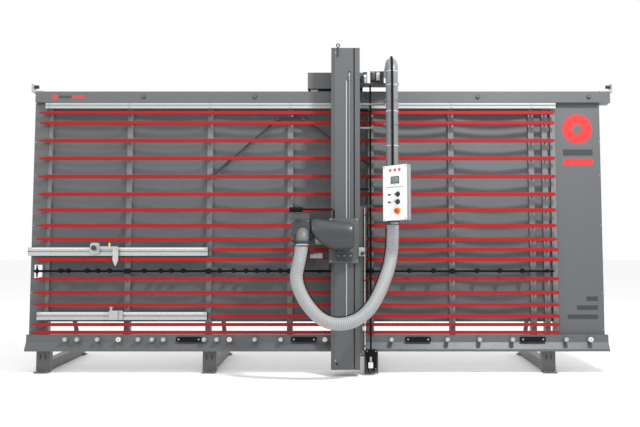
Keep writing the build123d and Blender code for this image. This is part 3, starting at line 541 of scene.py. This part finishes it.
# ---- the control box
def control_box():
    """Lamps, screen, dial rings, signs, screws, hinges and the side walls of the control box, darker grey by
    painted shade, in its own axes.
    """
    wide, half, body = BOX_WIDE, BOX_HALF_HIGH, "saw_column"
    lamp = [(0, -1), (12, -1), (12, 3), (9.5, 3.5), (9.5, 7), (7, 9.6), (0, 10.4)]
    for i, x in enumerate((75, 122, 168)):
        turned(f"lamp_{i}", (x, 0, half - 40), (0, -1, 0), lamp, "red_plastic", body, BOX_AXES)
    block("screen_frame", (80, 165), (-4, 0), (half - 155, half - 95), "plastic", body, 1.5,
          BOX_AXES)
    block("screen_face", (86, 159), (-4.8, -3.6), (half - 149, half - 101), "screen", body, 0.4,
          BOX_AXES)
    base = turned("stop_base", (150, 0, -half + 76), (0, -1, 0), ring(31, 8.4, -0.5, 4), "yellow_plastic", body,
                  BOX_AXES)
    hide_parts("box_fittings")
    for level, w in (("lower", -half + 153), ("upper", -half + 217)):
        turned(f"dial_ring_{level}", (150, 0, w), (0, -1, 0), ring(23, 18.5, -0.3, 1.6), "plastic", body,
               BOX_AXES)
        block(f"dial_sign_{level}", (52, 74), (-0.7, 0), (w - 9, w + 9), "dark_mark", body, 0,
              BOX_AXES)
        block(f"dial_sign_dot_{level}", (80, 88), (-0.7, 0), (w - 4, w + 4), "dark_mark", body, 0,
              BOX_AXES)
        block(f"dial_pointer_{level}", (130, 136), (-23, -21.6), (w - 1.6, w + 1.6), "white_plastic",
              f"dial_{level}", 0.4, BOX_AXES)
    block("box_line", (28, 212), (-0.7, 0), (half - 186, half - 182), "dark_mark", body, 0,
          BOX_AXES)
    for i, (x, w) in enumerate(((12, half - 12), (228, half - 12), (12, 12 - half), (228, 12 - half))):
        screw(f"box_screw_{i}", (x, 0, w), (0, -1, 0), body, 4, BOX_AXES)
    # the right and low walls take the darker grey: painted shade on the white box's sides
    block("box_wall_right", (wide, wide + 1.2), (0.5, 59), (-half, half), "box_side_painted_shade", body, 0.3,
          BOX_AXES)
    block("box_wall_low", (1, wide), (0.5, 59), (-half - 1.2, -half), "box_side_painted_shade", body, 0.3, BOX_AXES)
    for side, x, w in (("left", (-0.8, 0), (-half, half)), ("right", (wide + 1.2, wide + 2), (-half, half)),
                       ("low", (0, wide), (-half - 2, -half - 1.2)), ("top", (0, wide), (half, half + 0.8))):
        block(f"box_seam_{side}", x, (17, 19), w, "plastic", body, 0.2, BOX_AXES)
    block("box_hinge_top", (-5, 0.5), (12, 24), (120, 180), "steel", body, 1.5, BOX_AXES)
    block("box_hinge_low", (-5, 0.5), (12, 24), (-180, -120), "steel", body, 1.5, BOX_AXES)


# ---- plain marks in place of the maker's signs
def marks():
    """A toothed disc and plain bars on the side panel, and a smaller set on the top beam."""
    teeth, centre, big, hub_radius, small_radius = [], (2272, 2170), 142, 42, 26
    for i in range(24):
        for part, r in ((0.0, 1.0), (0.55, 0.9), (0.62, 0.88)):
            turn = 2 * pi * (i + part) / 24
            teeth.append((centre[0] + big * r * cos(turn), centre[1] + big * r * sin(turn)))
    outline("panel_sign_disc", teeth, 56, 0.8, "red_mark", "frame")
    hub = [(centre[0] + hub_radius * cos(2 * pi * i / 32), centre[1] + hub_radius * sin(2 * pi * i / 32))
           for i in range(32)]
    outline("panel_sign_hub", hub, 55.1, 0.6, "frame", "frame")
    for name, low, high, finish in (("panel_sign_dark", 1930, 1985, "dark_mark"),
                                    ("panel_sign_red", 1845, 1900, "red_mark")):
        block(name, (2140, 2405), (55.2, 56), (low, high), finish, "frame", 0)
    for i, (a, b) in enumerate(((2150, 2420), (2235, 2420), (2320, 2420))):
        block(f"panel_bar_{i}", (a, b), (55.2, 56), (470 + 80 * i, 510 + 80 * i), "dark_mark", "frame",
              0)
    small = [(-2420 + small_radius * cos(2 * pi * i / 24) * (1, 0.86)[i % 2],
              2455 + small_radius * sin(2 * pi * i / 24) * (1, 0.86)[i % 2]) for i in range(24)]
    outline("beam_sign_disc", small, 15, 0.8, "red_mark", "frame")
    block("beam_sign_dark", (-2380, -2270), (14.2, 15), (2443, 2467), "dark_mark", "frame", 0)
    block("beam_sign_red", (-2262, -2150), (14.2, 15), (2443, 2467), "red_mark", "frame", 0)


# ---- rollers, blocks and screws along the bottom beam
def bottom_row():
    """Bright faces and white tyres on the support rollers, screws on the blocks and bosses on the top beam."""
    level, white_ones = 294, (3, 9, 12, 18)
    rollers = [-2253, -2148, -1972, -1788, -1617, -1495, -1397, -1043, -933, -822, -603, -376, 9, 589, 1076, 1356,
               1642, 2109, 2322]
    for i, x in enumerate(rollers):
        white = i in white_ones
        turned(f"roller_face_{i}", (x, -62, level), (0, -1, 0), ring(19.2 if white else 17, 10.5, -0.4, 1.2),
               "white_plastic" if white else "aluminium", "frame")
        if white:
            turned(f"roller_tyre_{i}", (x, -34, level), (0, -1, 0), ring(21.2, 20.0, -2, 28, 0.6), "white_plastic",
                   "frame")
    for i, x in enumerate((-1181, -176, 822, 1826)):
        for side in (-1, 1):
            screw(f"block_screw_{i}_{side + 1}", (x + side * 88, -22, level), (0, -1, 0), "frame", 6.5)
    for i, x in enumerate((-1621, -622, 381, 1376, 2370)):
        turned(f"beam_boss_{i}", (x, 15, 2455), (0, -1, 0), ring(19, 14.2, 0, 6), "plastic", "frame")


# ---- the duct's cable, the cuffs and the ties
def cables():
    """The cable up the front of the duct, the ties round the duct and the cuffs at both ends of the hose."""
    front = [(588, -364, 1450), (588, -364, 1700), (588, -364, 2000), (588, -364, 2330), (588, -364, 2560),
             (588, -342, 2668), (588, -283, 2737), (588, -214, 2754), (588, -60, 2753), (588, 110, 2753)]
    line = evenly(route_line("duct_cable_line", [lean(*p) for p in front]), 0.012)
    cable = tube("duct_cable", line, lambda n: 0.0105, 16, "deep")
    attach(cable, "saw_column")
    for i, w in enumerate((1460, 1610, 1950, 2250, 2480, 2600)):
        turned(f"duct_tie_{i}", (588, -300, w), (0, 0, 1), ring(55.2, 53.05, -2.4, 2.4, 0.5), "white_plastic",
               "saw_column")
        block(f"duct_tie_head_{i}", (593, 601), (-361, -354), (w - 4, w + 4), "white_plastic", "saw_column",
              1)
    turned("hose_cuff_top", (588, -300, 1290), (0, 0, 1), ring(58.6, 53.2, -18, 34, 2), "rubber", "saw_column")
    turned("hose_band_top", (588, -300, 1290), (0, 0, 1), ring(59.8, 58.4, -12, -2, 0.5), "steel", "saw_column")
    turned("hose_cuff_low", (-170, -562, 1095), (0, 0, 1), ring(58.6, 50.2, -26, 2.6, 2), "rubber", "carriage")
    turned("hose_band_low", (-170, -562, 1095), (0, 0, 1), ring(59.8, 58.4, -18, -8, 0.5), "steel", "carriage")


# ---- the motor's cover and the fittings of the head
def motor_cover():
    """The rounded shell of the motor, the case of its belt, and the vents, screws, knobs and grip of the head."""
    # metres of the leaning frame: the middle of the shell and half of its size
    (mid_x, mid_v, mid_w), (half_x, half_v, half_w) = (0.0735, -0.391, 1.187), (0.1855, 0.098, 0.133)

    def make(work):
        bmesh.ops.create_cube(work, size=1.0, matrix=Matrix.Translation((mid_x, mid_v, mid_w))
                              @ Matrix.Diagonal((2 * half_x, 2 * half_v, 2 * half_w, 1)))
        bmesh.ops.subdivide_edges(work, edges=work.edges[:], cuts=3, use_grid_fill=True)
        for vert in work.verts:
            x, v, w = vert.co
            # left and low run from -1 to 1 across the shell: it thins above and below, its lower left corner
            # is drawn in and its top slopes down to the right
            left, low = (mid_x - x) / half_x, (mid_w - w) / half_w
            vert.co.y = mid_v + (v - mid_v) * (1 - 0.78 * low * low) ** 0.5
            if left > 0 and low > 0:
                vert.co += Vector((0.125 * left * low ** 1.5, 0, 0.03 * left * low))
            if low < 0:
                vert.co.z += 0.045 * low * (1 - left) / 2
        bmesh.ops.recalc_face_normals(work, faces=work.faces)

    shell = mesh_piece("motor_shell", make, LEANED, "head")
    rounding = shell.modifiers.new("rounding", "SUBSURF")
    rounding.levels = rounding.render_levels = 3
    shell.data.shade_smooth()
    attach(shell, "saw_head")
    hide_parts("motor_cover")
    # the belt's case, from two round ends joined by a straight waist
    motor, arbor = (-0.392, 1.187), (-0.193, 1.250)

    def case(work):
        for (v, w), r in ((motor, 0.038), (arbor, 0.033)):
            bmesh.ops.create_circle(work, segments=40, radius=r,
                                    matrix=Matrix.Translation((-0.089, v, w)) @ Matrix.Rotation(pi / 2, 4, "Y"))
        hull = bmesh.ops.convex_hull(work, input=work.verts[:])
        inner = [g for g in only_verts(hull["geom_interior"] + hull["geom_unused"]) if g.is_valid]
        bmesh.ops.delete(work, geom=inner, context="VERTS")
        bmesh.ops.dissolve_limit(work, angle_limit=0.01, verts=work.verts[:], edges=work.edges[:])
        faces = work.faces[:1]
        bmesh.ops.delete(work, geom=work.faces[1:], context="FACES_ONLY")
        made = bmesh.ops.extrude_face_region(work, geom=faces)["geom"]
        bmesh.ops.translate(work, vec=(0.019, 0, 0), verts=only_verts(made))
        bmesh.ops.translate(work, vec=(-0.0185, 0, 0), verts=work.verts)
        rims = [e for e in work.edges if len(e.link_faces) == 2 and e.calc_face_angle(0) > 1]
        bmesh.ops.bevel(work, geom=rims, offset=0.003, segments=3, profile=0.5, affect="EDGES", material=-1)
        bmesh.ops.recalc_face_normals(work, faces=work.faces)

    cover = mesh_piece("belt_case", case, LEANED, "head", 40)
    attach(cover, "saw_head")
    for i in range(7):
        block(f"cover_vent_{i}", (256.5, 259.4), (-440, -345), (1120 + 19 * i, 1127 + 19 * i), "plastic",
              "saw_head", 1)
    block("head_plate", (-76, -68), (-455, -330), (1120, 1290), "dark", "saw_head", 2)
    knob = [(0, 0), (9, 0), (9, 8), (16, 9), (17, 15), (14, 20), (0, 21)]
    turned("hood_knob", (-205, -492, 1296), (0, -1, 0), knob, "plastic", "saw_head")
    for i, (x, w) in enumerate(((-254, 1140), (-124, 1140), (-254, 1290), (-130, 1290))):
        screw(f"hood_screw_{i}", (x, -492, w), (0, -1, 0), "saw_head", 4)
    for i in range(9):
        turned(f"grip_ring_{i}", (-276 + 11 * i, -420, 1390), (1, 0, 0), ring(22.5, 12, 0, 5.5, 1.6), "deep",
               "saw_head")
    ball = [(0, -12), (13, -10), (16, 0), (13, 10), (0, 12)]
    turned("handle_knob", (90, -420, 1392), (1, 0, 0), ball, "plastic", "saw_head")


def carriage_trim():
    """Clamps, knobs and screws on the carriage."""
    body = "carriage"
    block("clamp_light", (-116, -10), (-236, -219), (992, 1037), "rail", body, 4)
    block("clamp_jaw", (-96, -62), (-248, -236), (998, 1030), "aluminium", body, 3)
    block("guide_clamp_right", (300, 352), (-232, -219), (1010, 1085), "rail", body, 4)
    tall_knob = [(0, 0), (7, 0), (7, 12), (17, 13), (18, 22), (14, 26), (0, 27)]
    turned("guide_knob_right", (334, -232, 1032), (0, -1, 0), tall_knob, "rubber", body)
    for i, (x, w) in enumerate(((60, 965), (285, 965), (60, 1325), (285, 1325), (130, 1060), (240, 1060))):
        screw(f"plate_screw_{i}", (x, -219, w), (0, -1, 0), body, 6.5)
    for i, x in enumerate((122, 177, 232)):
        screw(f"bracket_screw_{i}", (x, -262, 1012), (0, -1, 0), body, 5.5)
    block("bracket_lip", (104, 250), (-266, -262), (1038, 1046), "frame", body, 1.5)
    flat_knob = [(0, 0), (9, 0), (9, 6), (19, 7), (21, 12), (19, 17), (0, 18)]
    turned("lock_knob", (-100, -245, 956), (0, -1, 0), flat_knob, "rubber", body)


def column_trim():
    """Screws, the air valve group, the parking cylinder and the air lines of the column."""
    body = "saw_column"
    for i, w in enumerate((700, 1600, 2300)):
        screw(f"clip_screw_{i}", (398, -106, w + 6), (0, -1, 0), body, 3.5)
    for i, (x, w) in enumerate(((100, 2800), (285, 2800), (100, 120), (285, 120))):
        screw(f"column_screw_{i}", (x, -195 if x < 250 else -191, w), (0, -1, 0), body, 6)
    block("column_groove", (88, 92), (-195.6, -195), (60, 2830), "dark_mark", body, 0)
    # the air valve group on the shelf
    block("valve_body", (352, 376), (-74, -58), (2560, 2640), "aluminium", body, 3)
    bowl = [(0, -34), (9, -33), (13, -26), (13, 0), (0, 0)]
    turned("filter_bowl", (364, -66, 2560), (0, 0, 1), bowl, "screen", body)
    turned("gauge", (364, -74, 2622), (0, -1, 0), ring(15, 12.4, 0, 8), "steel", body)
    turned("gauge_face", (364, -74, 2622), (0, -1, 0), cap(12.6, 0, 5), "white_plastic", body)
    block("solenoid_left", (418, 452), (-66, -50), (2585, 2655), "plastic", body, 3)
    block("solenoid_right", (462, 496), (-66, -50), (2585, 2655), "aluminium", body, 3)
    for i, x in enumerate((428, 442, 472, 486)):
        turned(f"air_fitting_{i}", (x, -58, 2655), (0, 0, 1), ring(5.5, 2.8, 0, 16, 1), "steel", body)
    block("shelf_edge", (315, 658), (-103, -100), (2538, 2552), "dark", body, 1)
    # the parking cylinder at the foot
    block("cylinder_body", (384, 424), (-131, -127), (52, 102), "white_plastic", body, 2)
    turned("cylinder_end", (404, -118, 106), (0, 0, 1), ring(11, 4, 0, 42, 2), "aluminium", body)
    for i, (x, w) in enumerate(((374, 196), (448, 196), (400, 40), (448, 44))):
        screw(f"foot_screw_{i}", (x, -107, w), (0, -1, 0), body, 4.5)
    # air lines tied along the cable strip
    for i, (x, w0, w1, finish) in enumerate(((345, 180, 1430, "rubber"), (354, 210, 1436, "white_plastic"))):
        line = [lean(x, -176, w0 + (w1 - w0) * n / 40) for n in range(41)]
        hose = tube(f"air_line_{i}", line, lambda n: 0.0034, 10, finish)
        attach(hose, body)
    for i, w in enumerate((240, 520, 800, 1080, 1360)):
        block(f"line_clip_{i}", (336, 360), (-182, -166), (w, w + 10), "plastic", body, 1.5)


# x of the wheels of the middle support
MID_ROLLERS = [-2324, -2257, -2090, -1997, -1893, -1590, -1442, -1350, -1245, -924, -800, -690, -597, -493,
               -387, -36, 753, 966, 1351, 1551, 1750]
TICK_STEP = 50


def frame_trim():
    """Wheels of the middle support, fittings of the stop rails, and the bolts and screws of the frame."""
    body = "frame"
    wheel = [(0, 0), (19, 0), (22, 2), (22, 13), (19, 15), (8, 15), (7, 17), (0, 17)]
    for i, x in enumerate(MID_ROLLERS):
        turned(f"mid_wheel_{i}", (x, 30, 896), (0, -1, 0), wheel, "deep", "mid_support", sides=28)
    block("stop_lever", (-1901, -1885), (-17, -12), (1108, 1140), "yellow_plastic", "upper_stop",
          2)
    knob = [(0, 0), (20, 0), (23, 3), (23, 12), (20, 15), (9, 16), (0, 16)]
    turned("stop_knob", (-2018.5, -56, 1092), (0, -1, 0), knob, "plastic", "upper_stop")
    for name, x0, x1, low, high in (("upper", -2613, -1028, 1027, 1101), ("lower", -2522, -1029, 463, 533)):
        for j, (a, b) in enumerate(((x0 - 1.6, x0), (x1, x1 + 1.6))):
            block(f"rail_end_{name}_{j}", (a, b), (0, 38), (low, high), "plastic", body, 0.6)
        block(f"rail_scale_{name}", (x0 + 30, x1 - 30), (-0.5, 0), (high - 14, high - 5), "white_plastic", body,
              0)
        for k in range(int((x1 - x0 - 60) // TICK_STEP)):
            tick = x0 + 40 + TICK_STEP * k
            block(f"rail_tick_{name}_{k}", (tick, tick + 2), (-0.9, -0.5), (high - (13 if k % 2 else 10), high - 5),
                  "dark_mark", body, 0)
    for i, x in enumerate((-2472, -1008, 415, 1975)):
        for side in (-1, 1):
            for j, (y, z) in enumerate(((16, 10), (1228, 10))):
                screw(f"anchor_bolt_{i}_{side + 1}_{j}", (x + side * 42 + SHIFT_X, y + SHIFT_Y, z), (0, 0, 1), body,
                      9, Matrix.Identity(4))
    for i, x in enumerate((-2465, -1745, -1025, -305, 415, 1135, 1855)):
        for j, w in enumerate((2392, 2360)):
            screw(f"top_screw_{i}_{j}", (x, 14, w), (0, -1, 0), body, 4)
    for i, (x, w) in enumerate([(x, w) for x in (-2590, 2462) for w in (380, 700, 1300, 1750, 2050, 2380)]):
        screw(f"panel_screw_{i}", (x, 56, w), (0, -1, 0), body, 5)


make_hose()
balance_ropes()
motor_cover()
carriage_trim()
column_trim()
frame_trim()
control_box()
marks()
bottom_row()
cables()
